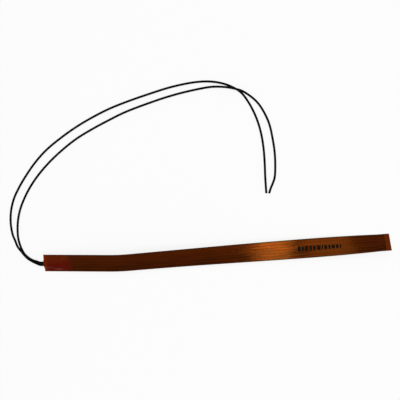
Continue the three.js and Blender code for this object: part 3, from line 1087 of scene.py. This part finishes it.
@dataclass
class InkMarks:
    """Short plain bars of dark ink where the strip is printed, in millimetres."""

    surface: StripSurface
    lift: float = 0.004
    thickness: float = 0.006
    first: float = 167.5
    gap: float = 0.75
    lengths: tuple[float, ...] = (1.9, 1.3, 2.2, 1.6, 1.9, 2.4, 0.9, 1.9, 1.5, 2.1, 1.7, 1.0)
    heights: tuple[float, float] = (3.5, 2.4)
    offset: float = -0.1
    rows: int = 5

    def build(self, material: bpy.types.Material) -> None:
        """Makes the bars as one thin piece, the first of them the tallest."""
        heights = np.linspace(*self.heights, len(self.lengths))
        base = self.surface.stack_top + self.lift
        starts = self.first + np.cumsum((0.0, *(length + self.gap for length in self.lengths)))
        bars = []
        for i, length in enumerate(self.lengths):
            stations = np.linspace(starts[i], starts[i] + length, self.rows)
            offsets = np.linspace(-heights[i] / 2, heights[i] / 2, self.rows) + self.offset
            faces = (base, base + self.thickness)
            under, over = (self.surface.grid(stations, offsets, height) for height in faces)
            bars.append(closed_sheet(f"ink_bar_{i}", under, over, grid_map(stations, offsets)))
        dress(join("ink_marks", bars), material, Slot.FILM)


def finish_nodes(frame: dict[str, Any], finishes: dict[str, bpy.types.Material]) -> None:
    """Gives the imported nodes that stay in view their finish.

    Args:
        finishes: material by a word in the node's name.
    """
    for name, node in frame["nodes"].items():
        for word, material in finishes.items():
            if word in name:
                node.data.materials.clear()
                node.data.materials.append(material)
                LOG.info("%s: finish %s", name, material.name)


# Studio


@dataclass(frozen=True)
class Lamp:
    """One square soft lamp: its way from what it lights, distance and side in metres, watts."""

    name: str
    direction: tuple[float, float, float]
    distance: float
    size: float
    power: float

    def build(self, aim: tuple[float, float, float]) -> None:
        """Hangs the lamp so that it faces a point."""
        data = bpy.data.lights.new(self.name, "AREA")
        data.size, data.energy = self.size, self.power
        made = bpy.data.objects.new(self.name, data)
        way = Vector(self.direction).normalized()
        made.location = Vector(aim) + way * self.distance
        made.rotation_euler = way.to_track_quat("Z", "Y").to_euler()
        bpy.context.scene.collection.objects.link(made)


@dataclass
class Studio:
    """Camera, table and soft light."""

    surface: StripSurface
    view_angle: float = 20.0
    sensor: float = 36.0
    pixel: float = 0.661
    frame_pixels: int = 400
    lead_end_pixel: tuple[float, float] = (44.93, 262.63)
    clip: tuple[float, float] = (0.01, 20.0)
    world_strength: float = 0.42
    lit_station: float = 153.0
    lit_height: float = 0.25
    key: Lamp = Lamp("key_lamp", (0.127, -0.268, 0.950), 1.6, 0.5, 7.2)
    fill: Lamp = Lamp("fill_lamp", (0.1, 0.36, 0.93), 1.7, 1.0, 7.0)
    table_half: float = 3.0
    table_drop: float = 0.00005

    def camera(self) -> None:
        """A camera straight over the view's middle, as far off as its view angle needs."""
        half = self.frame_pixels / 2
        distance = half * self.pixel / np.tan(np.radians(self.view_angle / 2)) * MM
        column, row = self.lead_end_pixel
        middle = self.surface.origin[:2] - np.array([column - half, half - row]) * self.pixel * MM
        data = bpy.data.cameras.new("camera")
        data.sensor_width = self.sensor
        data.lens = self.sensor / 2 / np.tan(np.radians(self.view_angle / 2))
        data.clip_start, data.clip_end = self.clip
        made = bpy.data.objects.new("camera", data)
        made.location = (middle[0], middle[1], distance)
        bpy.context.scene.collection.objects.link(made)
        bpy.context.scene.camera = made

    def build(self) -> None:
        """Table, lamps, world and view settings."""
        mesh = bpy.data.meshes.new("table")
        half = self.table_half
        corners = [(-half, -half, 0), (half, -half, 0), (half, half, 0), (-half, half, 0)]
        mesh.from_pydata(corners, [], [(0, 1, 2, 3)])
        table = bpy.data.objects.new("table", mesh)
        table.location.z = -self.table_drop
        mesh.materials.append(TableFinish().build())
        bpy.context.scene.collection.objects.link(table)
        place = (np.array(value) for value in (self.lit_station, 0.0, self.lit_height))
        aim = tuple(map(float, self.surface.points(*place)))
        self.key.build(aim)
        self.fill.build(aim)
        world = bpy.data.worlds.new("soft_room")
        world.use_nodes = True
        background = world.node_tree.nodes["Background"].inputs
        background["Color"].default_value = (1.0, 1.0, 1.0, 1.0)
        background["Strength"].default_value = self.world_strength
        bpy.context.scene.world = world
        bpy.context.scene.view_settings.view_transform = "Standard"


def main() -> None:
    """Builds everything in order."""
    logging.basicConfig(level=logging.INFO, format="%(name)s: %(message)s")
    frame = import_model()
    surface = StripSurface()
    layout = ElementLayout()
    studio = Studio(surface)
    studio.camera()
    copper = MetalFinish("bare_copper", srgb(214, 140, 98), srgb(160, 92, 60)).build()
    leads, joint = Leads(surface), JointSize()
    leads.build(InsulationFinish().build(), copper)
    film = FilmFinish(surface, layout).build()
    bond = BondFinish().build()
    foil = MetalFinish("etched_foil", srgb(196, 176, 150), srgb(150, 128, 104), 0.34).build()
    Laminate(surface, layout, joint).build({
        Layer.BASE_FILM: film, Layer.BASE_BOND: bond, Layer.FOIL: foil,
        Layer.COVER_BOND: bond, Layer.COVER_FILM: film,
    })
    TerminationPatch(surface, leads, joint).build(PatchFinish(surface).build())
    InkMarks(surface).build(InkFinish().build())
    solder = MetalFinish("bright_solder", srgb(206, 208, 210), srgb(160, 162, 166), 0.28, 0.02).build()
    finish_nodes(frame, {"solder": solder, "strand": copper})
    studio.build()


if __name__ == "__main__":
    main()
